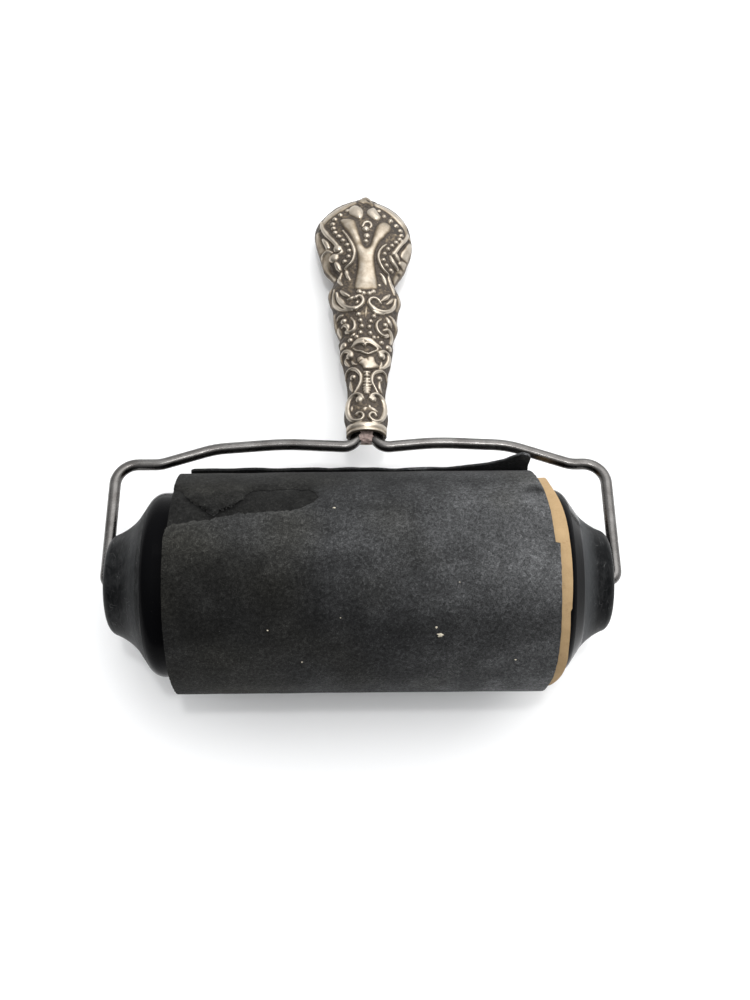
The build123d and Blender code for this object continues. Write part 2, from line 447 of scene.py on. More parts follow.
class Relief:
    """Height of the ornament above the handle's plain form, in mm, as a map across and along the handle."""

    def __init__(self):
        self.across = np.arange(*RELIEF_ACROSS, RELIEF_CELL)
        self.away = np.arange(*RELIEF_AWAY, RELIEF_CELL)
        self.height = np.full((len(self.away), len(self.across)), GROUND)
        self.patina = np.zeros_like(self.height)

    def window(self, points, reach):
        """Slices of the map round points, and the places of their cells."""
        low, high = points.min(axis=0) - reach, points.max(axis=0) + reach
        columns = slice(*np.searchsorted(self.across, (low[0], high[0])))
        rows = slice(*np.searchsorted(self.away, (low[1], high[1])))
        across, away = np.meshgrid(self.across[columns], self.away[rows])
        return (rows, columns), across, away

    def raise_to(self, window, shape, top):
        """Raises the map to a shape between 0 and 1 that peaks at top."""
        risen = np.where(shape > 0, GROUND + (top - GROUND) * shape, -9.0)
        self.height[window] = np.maximum(self.height[window], risen)

    def swept(self, points, radius, ends):
        """Round-backed shape swept along points, thinner towards ends that are below 1."""
        line = smooth_curve(points, 0.12)
        window, across, away = self.window(line, radius)
        t = np.linspace(0.0, 1.0, len(line))
        taper = np.minimum(
            ends[0] + (1 - ends[0]) * np.minimum(1, t * 2.5),
            ends[1] + (1 - ends[1]) * np.minimum(1, (1 - t) * 2.5),
        )
        shape = np.zeros_like(across)
        for (x, h), scale in zip(line, taper):
            inside = 1 - ((across - x) ** 2 + (away - h) ** 2) / (radius * scale) ** 2
            shape = np.maximum(shape, np.sqrt(np.maximum(inside, 0)) * scale**0.6)
        return window, shape

    def ridge(self, points, radius, top, ends=(0.5, 0.5)):
        window, shape = self.swept(points, radius * RIDGE_WIDENING, ends)
        self.raise_to(window, shape, top)

    def groove(self, points, radius, depth, ends=(0.4, 0.4)):
        window, shape = self.swept(points, radius, ends)
        self.height[window] -= depth * shape

    def bead(self, place, radius, top):
        radius = radius * BEAD_WIDENING
        window, across, away = self.window(np.array([place], float), radius)
        inside = 1 - ((across - place[0]) ** 2 + (away - place[1]) ** 2) / radius**2
        self.raise_to(window, np.sqrt(np.maximum(inside, 0)), top)

    def pad(self, outline, top, bevel, patina=0.0):
        """Smooth raised area with rounded edges; patina dulls it."""
        loop = smooth_curve(outline, 0.5, closed=True)
        window, across, away = self.window(loop, 0.1)
        ends = np.roll(loop, -1, axis=0)
        inside = np.zeros(across.shape, bool)
        nearest = np.full(across.shape, 99.0)
        for (x0, h0), (x1, h1) in zip(loop, ends):
            crosses = (h0 > away) != (h1 > away)
            if h0 != h1:
                inside ^= crosses & (across < (x1 - x0) * (away - h0) / (h1 - h0) + x0)
            length = max((x1 - x0) ** 2 + (h1 - h0) ** 2, 1e-9)
            t = np.clip(((across - x0) * (x1 - x0) + (away - h0) * (h1 - h0)) / length, 0, 1)
            nearest = np.minimum(nearest, np.hypot(across - x0 - t * (x1 - x0), away - h0 - t * (h1 - h0)))
        rise = np.clip(nearest / bevel, 0, 1)
        self.raise_to(window, np.where(inside, np.sqrt(1 - (1 - rise) ** 2), 0), top)
        self.patina[window] = np.where(inside, patina, self.patina[window])

    def finish(self):
        """Softens the stamping and works out where tarnish gathers."""
        ground = np.exp(-(((self.height - GROUND) / 0.12) ** 2))
        punches = gaussian_blur(rng.normal(size=self.height.shape), 2.2)
        self.height += 0.05 * ground * punches / punches.std()
        self.height = gaussian_blur(self.height, 1.7)
        hollow = gaussian_blur(self.height, 9.0) - self.height
        close_hollow = gaussian_blur(self.height, 3.5) - self.height
        depth = (0.05 - self.height) / (0.05 - GROUND)
        rubbed = 0.25 + 0.55 * depth + 0.9 * hollow + 1.1 * close_hollow
        self.recess = np.clip(np.maximum(rubbed, 0) + gaussian_blur(self.patina, 3.0), 0, 1)

    def sample(self, field, across, away):
        """Field at places between the cells."""
        column = np.clip((across - self.across[0]) / RELIEF_CELL, 0, len(self.across) - 1.001)
        row = np.clip((away - self.away[0]) / RELIEF_CELL, 0, len(self.away) - 1.001)
        i, j = row.astype(int), column.astype(int)
        s, t = row - i, column - j
        low = field[i, j] * (1 - t) + field[i, j + 1] * t
        high = field[i + 1, j] * (1 - t) + field[i + 1, j + 1] * t
        return low * (1 - s) + high * s


def bulb_ornament(relief):
    """Smooth Y-shaped cartouche between beaded scrolls, with leafy lobes beside it and two petals on top."""
    cartouche = [
        (-7.5, 114.4), (-5.5, 114.9), (-3.0, 113.9), (-2.1, 111.0), (-1.4, 107.8), (-0.6, 105.0),
        (0.4, 103.7),
        (1.6, 104.8), (2.5, 108.4), (3.5, 111.7), (5.5, 113.6), (7.7, 112.8), (8.0, 110.8), (6.2, 107.8),
        (4.5, 105.6), (3.3, 102.7), (2.9, 100.1), (3.1, 97.0), (3.6, 93.5), (3.6, 89.2), (0.4, 88.4),
        (-3.0, 89.2), (-2.9, 93.3), (-2.3, 97.2), (-2.5, 100.8), (-3.1, 103.2), (-4.7, 107.9), (-6.7, 111.6),
    ]
    relief.pad(cartouche, 0.35, 2.6, patina=0.42)
    # The petals and the bud on top
    relief.pad([
        (-4.6, 119.5), (-2.8, 120.6), (-0.8, 118.8), (-0.4, 116.2), (-1.2, 114.6), (-2.9, 115.0),
        (-4.8, 116.8),
    ], 0.4, 2.0)
    relief.pad([
        (0.9, 118.3), (2.8, 119.6), (4.0, 117.6), (4.9, 115.3), (3.9, 114.0), (2.1, 114.7), (0.7, 116.5),
    ], 0.4, 2.0)
    relief.pad([
        (-2.4, 121.6), (-1.5, 124.0), (0.4, 126.6), (2.1, 124.0), (2.9, 121.0), (2.2, 119.9),
        (0.4, 121.4), (-0.9, 120.5),
    ], 0.15, 1.0, patina=0.5)
    relief.groove([(-2.0, 121.9), (-0.5, 120.9), (1.4, 119.2)], 0.45, 0.35)
    relief.groove([(0.6, 123.4), (1.6, 121.8)], 0.4, 0.25)
    relief.bead((-5.3, 118.4), 0.6, 0.1)
    relief.bead((4.4, 118.3), 0.6, 0.1)
    # The rim of the bulb
    relief.ridge([
        (-3.2, 121.9), (-6.0, 120.6), (-9.2, 118.7), (-11.8, 116.6), (-13.6, 113.5),
    ], 1.1, 0.0, (0.7, 0.6))
    relief.ridge([
        (3.4, 121.4), (6.0, 120.2), (8.8, 118.2), (11.0, 115.9), (12.6, 113.2), (13.4, 110.4),
    ], 1.2, 0.1, (0.7, 0.7))
    # Beads in the fork and the small hook over them
    relief.bead((0.3, 110.3), 0.95, 0.45)
    relief.bead((0.6, 107.8), 0.9, 0.35)
    relief.bead((0.3, 105.9), 0.65, 0.25)
    relief.ridge([(-0.7, 111.4), (0.0, 112.9), (1.2, 113.1), (2.0, 112.0), (1.6, 110.9)], 0.38, 0.15)
    # Bead strings
    left_string = [
        (-7.5, 116.8), (-9.2, 115.4), (-9.8, 113.5), (-9.6, 111.8), (-9.1, 110.1), (-8.0, 108.5),
        (-6.7, 106.8),
        (-5.4, 105.0), (-4.8, 102.9), (-5.0, 100.9), (-6.2, 99.4),
    ]
    right_string = [
        (5.9, 116.0), (7.9, 114.6), (9.6, 113.2), (10.8, 111.6), (11.1, 109.8), (10.6, 108.1), (9.5, 106.6),
        (8.2, 105.1), (7.0, 103.7), (5.9, 101.9), (5.6, 99.8), (6.5, 98.2), (7.9, 97.0),
    ]
    for place in left_string + right_string:
        relief.bead(place, 0.62, 0.3)
    # Thin crescents inside the strings
    relief.ridge([
        (-6.7, 110.4), (-4.9, 107.1), (-3.6, 104.0), (-3.2, 101.5), (-3.9, 99.0), (-5.9, 97.2),
    ], 0.42, 0.45, (0.4, 0.8))
    relief.ridge([
        (6.4, 105.2), (4.8, 103.4), (4.0, 101.2), (4.2, 99.1), (5.3, 96.9), (6.8, 95.7),
    ], 0.42, 0.45, (0.4, 0.8))
    # Left side: long scroll, its knob and the lobes outside it
    relief.pad([
        (-15.2, 112.6), (-13.9, 112.4), (-12.4, 109.6), (-10.9, 107.2), (-10.7, 105.4), (-12.0, 104.4),
        (-14.0, 105.0), (-15.4, 107.5),
    ], 0.0, 1.0)
    relief.groove([(-13.8, 111.6), (-12.8, 108.6), (-12.0, 105.4)], 0.6, 0.35)
    relief.ridge([(-13.0, 109.3), (-11.9, 107.3), (-11.2, 105.5)], 0.55, 0.35, (0.4, 1.0))
    relief.ridge([
        (-13.5, 116.2), (-12.9, 112.9), (-11.7, 110.2), (-10.2, 108.0), (-8.8, 105.9), (-8.1, 104.4),
    ], 0.55, 0.4, (0.6, 1.0))
    relief.bead((-8.3, 104.2), 1.15, 0.5)
    relief.ridge([(-7.2, 104.1), (-7.0, 102.9), (-7.9, 102.2), (-9.4, 102.4)], 0.36, 0.3)
    relief.pad([
        (-13.9, 104.4), (-12.2, 104.8), (-10.6, 104.0), (-9.9, 101.9), (-10.6, 99.6), (-10.0, 97.6),
        (-8.6, 95.6), (-10.6, 96.2), (-12.8, 98.6), (-13.9, 101.2),
    ], 0.0, 0.9)
    relief.ridge([(-13.2, 102.6), (-12.5, 104.0), (-11.2, 104.3), (-9.9, 103.3)], 0.45, 0.35)
    relief.bead((-9.4, 101.4), 1.3, 0.55)
    relief.ridge([(-8.8, 99.5), (-8.1, 98.1), (-7.6, 97.2)], 0.6, 0.5, (0.7, 0.6))
    relief.groove([(-10.5, 99.7), (-9.7, 97.9), (-7.9, 95.8)], 0.5, 0.5)
    relief.ridge([(-12.6, 100.2), (-10.9, 97.6), (-8.9, 95.3)], 0.5, 0.15)
    # Right side
    relief.ridge([
        (13.0, 111.4), (12.3, 108.8), (10.9, 106.3), (9.6, 104.1), (8.6, 102.4),
    ], 0.5, 0.35, (0.6, 1.0))
    relief.groove([(13.6, 108.8), (12.2, 106.6), (10.6, 104.2)], 0.45, 0.3)
    relief.ridge([(8.7, 102.7), (9.5, 102.0), (10.1, 100.9)], 0.6, 0.3, (1.0, 0.6))
    relief.ridge([(7.6, 101.4), (8.3, 99.7), (9.4, 98.3)], 0.6, 0.5, (0.5, 0.9))
    relief.pad([
        (10.7, 103.2), (11.9, 105.6), (13.4, 108.6), (14.7, 108.4), (14.6, 105.0), (13.2, 101.9),
        (11.2, 101.7),
    ], 0.2, 1.2)
    relief.pad([
        (9.9, 100.1), (11.0, 101.3), (12.8, 101.6), (13.2, 100.0), (12.0, 98.9), (10.8, 99.0),
    ], 0.15, 0.7)
    relief.pad([(9.4, 97.6), (10.7, 98.9), (12.6, 99.2), (11.4, 96.2), (9.4, 93.9), (8.2, 94.8)], 0.1, 0.8)
    relief.groove([(9.2, 96.6), (11.0, 97.6)], 0.35, 0.25)
    # Foot of the cartouche
    relief.ridge([(-5.7, 96.2), (-5.3, 94.8), (-4.6, 93.1)], 0.45, 0.3, (1.0, 0.4))
    relief.ridge([(-7.2, 96.2), (-7.9, 94.3), (-7.0, 91.6)], 0.5, 0.25)
    relief.ridge([(4.6, 95.3), (5.6, 94.0), (6.2, 92.2)], 0.5, 0.35)
    relief.ridge([(6.8, 95.8), (7.4, 94.2), (8.2, 91.4), (8.7, 88.8)], 0.55, 0.2)
    relief.bead((4.3, 91.1), 0.5, 0.1)
    for place in ((-1.8, 88.2), (-0.5, 87.6), (1.2, 87.5), (2.4, 88.2)):
        relief.bead(place, 0.7, 0.3)


def waist_ornament(relief):
    """Two volutes over two columns of beads on a dark field, with C-scrolls and a lip-shaped shell."""
    relief.ridge([
        (-8.6, 89.4), (-8.0, 86.8), (-6.6, 84.6), (-5.2, 83.3), (-3.8, 82.7), (-2.3, 82.7), (-1.1, 83.6),
        (-0.6, 84.9), (-1.0, 86.1), (-1.9, 86.6), (-2.9, 86.1),
    ], 0.55, 0.5, (0.5, 0.9))
    relief.ridge([(-4.4, 82.9), (-3.0, 82.5), (-1.8, 82.8)], 0.75, 0.6)
    relief.ridge([(-2.7, 84.1), (-2.1, 85.0)], 0.4, 0.2)
    relief.ridge([
        (-9.4, 91.0), (-9.6, 88.0), (-9.1, 86.0), (-7.7, 83.8), (-6.0, 82.6), (-4.3, 82.1),
    ], 0.5, 0.15)
    relief.ridge([(-7.7, 87.6), (-7.0, 86.0), (-5.9, 84.6)], 0.4, 0.1)
    relief.ridge([(-7.3, 89.5), (-6.2, 88.1), (-4.9, 87.1)], 0.55, 0.35)
    relief.ridge([(-5.2, 86.0), (-4.3, 86.1), (-3.4, 86.7)], 0.4, 0.2)
    relief.ridge([
        (4.5, 84.5), (3.8, 85.5), (2.6, 85.9), (1.4, 85.4), (1.1, 84.2), (1.8, 83.0), (2.8, 82.2),
        (4.1, 81.8), (5.6, 81.9), (7.3, 83.0), (8.5, 84.9), (9.0, 87.4),
    ], 0.55, 0.5, (0.6, 0.5))
    relief.ridge([(1.3, 83.9), (1.8, 83.0), (2.8, 82.2), (4.0, 81.6)], 0.7, 0.55)
    relief.ridge([(1.7, 82.3), (2.7, 81.3), (4.0, 80.9), (5.4, 81.1)], 0.45, 0.3)
    relief.ridge([(4.9, 85.4), (6.0, 86.5), (7.2, 88.0)], 0.6, 0.35)
    relief.ridge([(6.5, 84.7), (7.5, 85.9), (8.3, 87.1)], 0.4, 0.15)
    relief.ridge([(9.4, 89.6), (10.1, 87.7), (9.9, 86.0), (9.1, 84.2)], 0.6, 0.1)
    relief.pad([
        (-10.0, 92.6), (-9.9, 90.0), (-10.0, 88.2), (-9.4, 86.0), (-10.6, 85.8), (-11.8, 88.0),
        (-11.6, 91.0),
    ], 0.0, 0.7)
    left_column = [(-2.1, 80.6), (-1.5, 78.6), (-1.1, 76.7), (-1.5, 74.7)]
    right_column = [(2.5, 79.9), (1.5, 78.2), (1.1, 76.4), (1.4, 74.4)]
    for place in left_column + right_column:
        relief.bead(place, 0.66, 0.3)
    for place in ((-2.6, 73.4), (-4.6, 72.7), (2.5, 73.1), (4.7, 71.8)):
        relief.bead(place, 0.6, 0.25)
    relief.ridge([(0.2, 83.0), (0.2, 81.6), (0.0, 79.8)], 0.3, -0.2)
    # C-scrolls with their leafy backs
    relief.ridge([
        (-4.3, 79.9), (-3.4, 78.5), (-3.1, 76.9), (-3.5, 75.8), (-4.5, 75.4), (-5.6, 75.8),
    ], 0.42, 0.45, (0.3, 1.0))
    relief.ridge([(-5.4, 76.2), (-5.2, 77.1), (-6.0, 77.9), (-7.0, 77.6)], 0.5, 0.3)
    relief.bead((-6.5, 79.3), 0.75, 0.35)
    relief.ridge([(-8.3, 80.3), (-7.8, 81.1), (-6.8, 81.3)], 0.5, 0.2)
    relief.ridge([(-9.3, 83.2), (-9.5, 81.6), (-9.2, 79.6), (-8.4, 76.8)], 0.8, 0.05)
    relief.ridge([(-8.1, 77.9), (-7.8, 76.6), (-7.2, 75.3)], 0.6, 0.2)
    relief.ridge([(-4.2, 73.9), (-3.6, 74.2), (-3.2, 74.7)], 0.35, 0.1)
    relief.ridge([
        (4.7, 79.3), (3.6, 78.2), (3.2, 76.7), (3.6, 75.3), (4.4, 74.4), (5.4, 74.1), (6.4, 74.7),
    ], 0.45, 0.45, (0.3, 1.0))
    relief.ridge([(5.4, 75.9), (6.5, 76.4), (7.3, 75.8), (7.6, 74.5), (7.3, 72.8)], 0.5, 0.3)
    relief.bead((5.9, 77.6), 0.7, 0.3)
    relief.ridge([(6.3, 80.2), (7.0, 78.9), (7.6, 77.6)], 0.5, 0.3)
    relief.ridge([(7.3, 81.2), (8.3, 80.6), (8.8, 79.3), (9.0, 77.6)], 0.55, 0.1)
    relief.ridge([(9.4, 83.0), (9.6, 80.0), (9.2, 77.4), (8.2, 74.6)], 0.6, 0.0)
    # Lip-shaped shell
    relief.ridge([
        (-3.9, 70.4), (-3.1, 71.4), (-1.8, 72.1), (-0.2, 72.2), (1.3, 71.9), (2.7, 71.0), (4.5, 69.9),
    ], 0.75, 0.5, (0.35, 0.35))
    relief.ridge([
        (-3.7, 70.4), (-2.5, 71.0), (-1.2, 71.1), (-0.2, 70.8), (0.9, 71.0), (2.1, 70.5), (3.7, 69.5),
    ], 0.42, 0.55, (0.5, 0.5))
    relief.ridge([
        (-3.7, 69.8), (-2.7, 68.9), (-1.3, 68.5), (-0.2, 67.8), (0.9, 67.6), (1.9, 68.2), (2.8, 68.7),
        (3.8, 69.4),
    ], 0.32, 0.3)
    relief.bead((-0.2, 70.3), 0.42, 0.55)
    relief.bead((-6.6, 71.8), 0.85, 0.4)
    relief.bead((6.8, 70.9), 0.8, 0.4)
    relief.bead((3.8, 73.4), 0.35, 0.0)


def grip_ornament(relief):
    """Paired scrolls one above the other, a leaf with a ribbed tail between them, and the mouth ring."""
    relief.ridge([(-6.9, 66.6), (-7.2, 68.4), (-6.4, 69.5), (-5.2, 69.3), (-4.2, 68.3)], 0.5, 0.3, (0.5, 1.0))
    relief.bead((-4.6, 67.7), 0.95, 0.5)
    relief.ridge([(-5.5, 67.5), (-6.0, 67.0), (-5.7, 65.9), (-4.9, 64.7)], 0.32, 0.2)
    relief.ridge([(-4.1, 65.9), (-3.5, 64.9), (-2.6, 64.6)], 0.28, 0.1)
    relief.bead((4.7, 67.5), 0.95, 0.5)
    relief.ridge([
        (3.9, 68.4), (5.2, 69.1), (6.5, 68.8), (6.8, 67.4), (6.2, 65.6), (5.1, 64.1), (4.0, 63.5),
    ], 0.45, 0.35, (1.0, 0.5))
    relief.ridge([(4.7, 65.6), (4.5, 64.6), (3.8, 63.8)], 0.3, 0.15)
    relief.pad([
        (-2.5, 66.5), (-1.2, 67.1), (-0.3, 66.4), (1.2, 67.0), (2.5, 66.7), (2.9, 65.3), (3.9, 64.3),
        (3.4, 63.3), (1.5, 62.7), (-0.6, 62.8), (-1.2, 63.9), (-2.3, 64.9),
    ], 0.3, 1.0, patina=0.4)
    relief.groove([(-2.2, 64.9), (-1.0, 65.8)], 0.28, 0.3)
    relief.groove([(0.4, 66.6), (0.6, 65.2)], 0.25, 0.2)
    for place, half_width in (
        (61.9, 0.8), (60.9, 0.6), (59.8, 0.65), (58.9, 0.8), (57.9, 0.95), (57.0, 0.95), (56.2, 0.85),
        (55.4, 0.6),
    ):
        relief.ridge([(0.3 - half_width, place), (0.3 + half_width, place - 0.05)], 0.42, 0.25, (0.7, 0.7))
    # Arches with a bead inside
    relief.ridge([
        (-5.9, 60.2), (-6.0, 61.8), (-5.5, 63.1), (-4.4, 63.6), (-3.1, 63.2), (-2.0, 62.1), (-1.4, 60.6),
        (-1.6, 58.8), (-2.3, 57.3), (-3.2, 56.1),
    ], 0.5, 0.5, (0.4, 0.5))
    relief.ridge([
        (3.6, 55.5), (2.6, 57.1), (1.8, 58.8), (1.8, 60.4), (2.5, 61.8), (3.7, 62.6), (4.9, 62.8),
        (5.9, 62.1), (6.2, 60.5),
    ], 0.5, 0.5, (0.5, 0.4))
    relief.bead((-3.8, 61.0), 0.75, 0.35)
    relief.bead((4.0, 60.4), 0.75, 0.35)
    relief.ridge([(-4.6, 60.0), (-4.5, 58.2), (-4.0, 56.6)], 0.35, 0.05)
    relief.ridge([(4.0, 59.3), (4.1, 57.8), (4.7, 56.5)], 0.35, 0.05)
    # Lower scrolls, each with a curl at its foot
    relief.ridge([
        (-0.8, 53.6), (-1.4, 54.7), (-2.6, 55.3), (-3.9, 55.0), (-4.9, 53.9), (-5.3, 52.2), (-5.3, 50.2),
        (-4.9, 48.4), (-4.0, 47.1), (-2.7, 46.5), (-1.4, 46.6), (-0.7, 47.5), (-1.0, 48.5), (-2.0, 48.9),
        (-2.8, 48.4),
    ], 0.5, 0.5, (0.9, 0.7))
    relief.ridge([
        (1.1, 53.6), (1.7, 54.7), (2.8, 55.2), (4.1, 54.8), (5.0, 53.8), (5.4, 52.1), (5.4, 50.1),
        (4.9, 48.1), (3.9, 46.7), (2.7, 46.2), (1.5, 46.7), (0.9, 47.7), (1.4, 48.6), (2.4, 48.7),
        (2.9, 47.9),
    ], 0.5, 0.5, (0.9, 0.7))
    relief.bead((-1.9, 53.4), 1.0, 0.45)
    relief.bead((2.1, 53.5), 0.95, 0.45)
    relief.ridge([(-4.1, 51.6), (-4.3, 49.8)], 0.3, 0.0)
    relief.ridge([(1.1, 50.6), (2.0, 50.1), (3.2, 49.4)], 0.45, 0.1)
    relief.ridge([(-0.8, 50.0), (0.2, 50.5)], 0.4, 0.0)
    relief.bead((1.0, 51.0), 0.4, 0.15)
    # Ring moulding and the worn lip below it
    relief.ridge([(-7.5, 45.3), (-3.0, 45.15), (2.0, 45.1), (7.5, 45.0)], 0.75, 0.25, (1.0, 1.0))
    relief.ridge([(-7.5, 43.9), (-2.0, 43.8), (3.0, 43.8), (7.5, 43.8)], 0.55, 0.0, (1.0, 1.0))
    relief.groove([(-1.6, 45.4), (0.6, 44.9), (2.4, 45.3)], 0.25, 0.2)


# Left and right edges of the handle: (distance from the roller's axis, left, right), across from its middle
HANDLE_EDGES = [
    (43.4, -5.6, 5.7), (45.8, -5.6, 5.8), (48.7, -6.2, 6.2), (51.5, -6.1, 5.9), (54.4, -5.4, 5.5),
    (57.4, -5.3, 5.6), (60.3, -5.6, 6.1), (63.3, -6.1, 6.4), (66.3, -6.7, 7.1), (69.3, -7.5, 7.6),
    (71.7, -7.5, 7.9), (73.6, -7.9, 7.8), (75.4, -7.6, 8.3), (78.5, -8.9, 9.4), (81.6, -9.4, 9.2),
    (85.4, -9.7, 9.8), (87.9, -10.6, 10.5), (90.5, -11.1, 9.9), (92.5, -10.6, 9.1), (93.9, -9.8, 8.7),
    (95.7, -9.5, 9.5), (97.5, -10.6, 10.7), (99.7, -12.4, 11.9), (102.6, -13.2, 12.9), (105.6, -14.0, 13.9),
    (108.6, -14.8, 14.2), (111.6, -15.3, 13.8), (113.5, -15.3, 13.4), (115.3, -15.0, 13.2),
    (117.6, -14.1, 12.0),
    (118.8, -13.2, 11.1), (121.1, -11.4, 9.0), (122.2, -10.2, 7.4), (123.4, -8.0, 5.6), (124.6, -5.2, 4.4),
    (125.7, -3.1, 2.8), (126.9, -1.2, 1.3), (127.9, -0.1, 0.5),
]
HANDLE_ROWS = 540
HANDLE_COLUMNS = 161
LINING_COLUMNS = 9
SHEET_METAL = 0.6
RIM_SHARE = 0.3
# Darkening of the plain rim and of the sides: tarnish and painted shade together
RIM_TARNISH_AND_PAINTED_SHADE = 0.5
SIDE_TARNISH_AND_PAINTED_SHADE = 0.3


def handle_depths(away):
    """Half depth of the handle at distances from the axis, measured on its CAD shells."""
    shell = frame["nodes"]["handle_front_shell"].data
    points = row_to_yoke([vertex.co for vertex in shell.vertices])
    stations = np.arange(43.4, points[:, 1].max(), 1.5)
    depths = [points[np.abs(points[:, 1] - station) < 1.0, 2].max() for station in stations]
    return np.interp(away, stations, depths)


def handle_grid(columns):
    """Plain form of the handle's front half: places in yoke coordinates, rows by columns."""
    edges = np.array(HANDLE_EDGES)
    fine = smooth_curve(edges, 0.05)
    travel = np.hypot(np.diff(fine[:, 0]), (np.abs(np.diff(fine[:, 1])) + np.abs(np.diff(fine[:, 2]))) / 2)
    travel = np.concatenate([[0], np.cumsum(travel)])
    stations = np.linspace(0, travel[-1], HANDLE_ROWS)
    away, left, right = (np.interp(stations, travel, fine[:, k]) for k in range(3))
    middle, half_width = (left + right) / 2, (right - left) / 2
    depth = gaussian_blur(np.tile(handle_depths(away)[:, None], 3), 6.0)[:, 1]
    depth = np.minimum(depth, half_width * 1.1 + 0.05)
    turn = np.linspace(0, pi, columns)
    across = middle[:, None] - half_width[:, None] * np.cos(turn)
    out = depth[:, None] * np.sin(turn)
    return np.stack([across, np.repeat(away[:, None], columns, axis=1), out], axis=-1)


def grid_normals(grid):
    along = np.gradient(grid, axis=0)
    round_ = np.gradient(grid, axis=1)
    normals = np.cross(round_, along)
    lengths = np.linalg.norm(normals, axis=-1, keepdims=True)
    return normals / np.maximum(lengths, 1e-9)


def handle(look):
    relief = Relief()
    bulb_ornament(relief)
    waist_ornament(relief)
    grip_ornament(relief)
    relief.finish()
    for node, side in (("handle_front_shell", 1), ("handle_back_shell", -1)):
        shell_piece(node, relief, side, look)


def shell_piece(node, relief, side, look):
    """One stamped half of the handle: a thin closed shell with the relief on its outside and a plain rim."""
    outside = handle_grid(HANDLE_COLUMNS)
    height = relief.sample(relief.height, outside[..., 0], outside[..., 1])
    recess = relief.sample(relief.recess, outside[..., 0], outside[..., 1])
    rim = fade(np.sin(np.linspace(0, pi, HANDLE_COLUMNS)), 0.02, RIM_SHARE)
    height = height * rim
    # The plain rim and the sides are darkened: tarnish and painted shade together
    recess = recess * rim + (1 - rim) * RIM_TARNISH_AND_PAINTED_SHADE
    recess = np.clip(
        recess + SIDE_TARNISH_AND_PAINTED_SHADE * (1 - fade(np.sin(np.linspace(0, pi, HANDLE_COLUMNS)), 0.25, 0.75)), 0, 1
    )
    normals = grid_normals(outside)
    # Along the seam the surface moves only in the seam's plane, so that the halves meet
    normals[:, 0, 2] = normals[:, -1, 2] = 0
    outside = outside + normals * height[..., None]
    inside = handle_grid(LINING_COLUMNS)
    lining_normals = grid_normals(inside)
    lining_normals[:, 0, 2] = lining_normals[:, -1, 2] = 0
    inside = inside - lining_normals * (SHEET_METAL - GROUND)
    inside[..., 2] = np.maximum(inside[..., 2], 0)
    points = np.vstack([outside.reshape(-1, 3), inside.reshape(-1, 3)])
    points[:, 0] += HANDLE_X
    points[:, 2] *= side
    first = HANDLE_ROWS * HANDLE_COLUMNS
    faces = grid_faces(HANDLE_ROWS, HANDLE_COLUMNS) + grid_faces(HANDLE_ROWS, LINING_COLUMNS, first)
    for outer_column, inner_column in ((0, 0), (HANDLE_COLUMNS - 1, LINING_COLUMNS - 1)):
        outer = np.arange(HANDLE_ROWS) * HANDLE_COLUMNS + outer_column
        inner = first + np.arange(HANDLE_ROWS) * LINING_COLUMNS + inner_column
        faces += [[outer[i], outer[i + 1], inner[i + 1], inner[i]] for i in range(HANDLE_ROWS - 1)]
    for row in (0, HANDLE_ROWS - 1):
        outer = [row * HANDLE_COLUMNS + k for k in range(HANDLE_COLUMNS)]
        inner = [first + row * LINING_COLUMNS + k for k in range(LINING_COLUMNS)]
        faces += bridge(outer, inner)
    tarnish = np.concatenate([recess.ravel(), np.ones(HANDLE_ROWS * LINING_COLUMNS)])
    piece = make_mesh("stamped_" + node, yoke_to_row(points), faces, {"recess": tarnish}, sharp_angle=80)
    dress(piece, look, "yoke_frame", "stamped_silver", node)


# ---------------------------------------------------------------- paper


def node_radius(node):
    """Outer radius of a node that turns about the roller's axis, in mm."""
    low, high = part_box(node)
    return (AXIS_HEIGHT - low.z / MM)


def span(node):
    """Left and right ends of a node, in mm."""
    low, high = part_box(node)
    return low.x / MM, high.x / MM


# Outer ply: outline as (along the roller, degrees round the roll from +Y); it starts and ends behind the roll
SHEET_STARTS = -8.0
FLAP_LEAVES = 349.0
LEFT_EDGE = -47.5
RIGHT_EDGE = [
    (48.5, 81.1), (48.5, 125.0), (48.3, 142.0), (47.8, 157.0), (47.2, 168.0), (46.5, 192.0),
    (46.3, 330.0),
]
STRIP_EDGE = [(43.8, -8.0), (44.2, 14.0), (45.1, 29.0), (46.2, 45.0), (47.0, 63.0), (47.4, 80.7)]
TORN_EDGE = [
    (-47.5, 73.2), (-47.2, 70.6), (-46.2, 69.0), (-43.6, 67.6), (-40.0, 66.4), (-36.5, 65.9), (-33.1, 63.8),
    (-29.7, 62.1), (-25.6, 61.4), (-20.7, 61.0), (-17.0, 60.2), (-14.5, 58.6), (-12.6, 56.2), (-11.0, 53.6),
    (-10.2, 50.4), (-10.9, 46.6), (-12.8, 43.4), (-15.8, 42.0), (-19.4, 42.8), (-23.2, 43.2), (-26.6, 43.4),
    (-28.2, 46.5), (-28.6, 50.4), (-29.6, 54.0), (-31.6, 57.3), (-33.8, 60.1), (-35.8, 62.7), (-37.5, 60.4),
    (-39.3, 57.2), (-41.4, 53.6), (-43.1, 49.8), (-44.2, 45.0), (-45.4, 42.4), (-46.9, 41.6),
]
TONGUE_FIRST = 20
TONGUE_LAST = 31
TONGUE_ROOT = 44.0
TONGUE_TIP = 62.7
PLY_RADIUS = 28.2
# Tone in stops at the roll's left and right ends: the change between them is part stain and part painted light and
# shade, lighter on the right
STAIN_AND_PAINTED_SHADE_LEFT = -1.6
STAIN_AND_PAINTED_LIGHT_RIGHT = 0.5
# Painted shade round the front of the roll, in stops
PAINTED_SHADE_FRONT = -0.85
